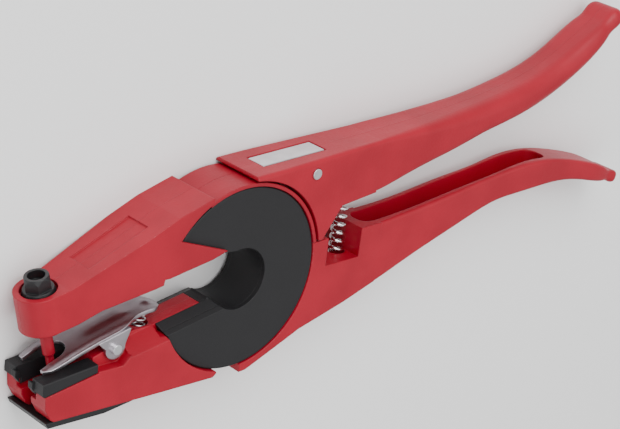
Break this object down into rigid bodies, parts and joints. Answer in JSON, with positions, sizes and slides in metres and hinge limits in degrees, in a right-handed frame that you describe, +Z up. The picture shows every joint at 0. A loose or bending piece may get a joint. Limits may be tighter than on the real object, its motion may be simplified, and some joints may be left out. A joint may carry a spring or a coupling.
{
  "type": "ear tag applicator",
  "caption": "Hand plier for livestock ear tags: crossed levers on an open hub, a pin jaw over a channel jaw with a sprung tag clip, and curved handles.",
  "frame": {"origin": "middle of the footprint of the tool lying on its side", "axes": "+X towards the handle tails, +Y towards the pin jaw, +Z up along the hub axis"},
  "size_m": [0.2468, 0.0944, 0.019],
  "materials": {
    "red_casting": "satin red coating on a casting",
    "black_nylon": "matte moulded nylon",
    "black_plate": "black painted sheet",
    "black_steel": "black oxide steel",
    "red_pin": "red coated steel pin",
    "clip_steel": "stamped steel",
    "bright_steel": "bright steel",
    "spring_chrome": "bright plated spring wire"
  },
  "bodies": {
    "jaw_lever": {"lower_jaw": "red_casting", "upper_handle": "red_casting", "throat_liner": "black_nylon", "near_cheek": "black_nylon", "far_cheek": "black_nylon", "near_rail": "black_nylon", "far_rail": "black_nylon", "base_plate": "black_plate", "base_plate_screws": "bright_steel", "top_plate": "bright_steel", "plate_rivet": "bright_steel", "clip_pin": "bright_steel", "clip_spring": "spring_chrome", "handle_spring": "spring_chrome"},
    "pin_lever": {"upper_jaw": "red_casting", "lower_handle": "red_casting", "near_hub_plate": "red_casting", "far_hub_plate": "red_casting", "jaw_rivets": "bright_steel", "handle_rivets": "bright_steel", "applicator_pin": "red_pin", "nut_washer": "black_steel", "pin_nut": "black_steel"},
    "clip": {"tag_clip": "clip_steel"}
  },
  "joints": [
    {"name": "lever_hinge", "type": "hinge", "parent": "jaw_lever", "child": "pin_lever", "pos_m": [-0.05165, -0.01636, 0.0095], "axis": [0, 0, -1], "range_deg": [0, 18], "deforming": ["handle_spring"]},
    {"name": "clip_hinge", "type": "hinge", "parent": "jaw_lever", "child": "clip", "pos_m": [-0.09415, -0.02906, 0.0095], "axis": [0, 0, -1], "range_deg": [0, 7], "stiffness_Nm_per_rad": 0.02, "deforming": ["clip_spring"]}
  ]
}
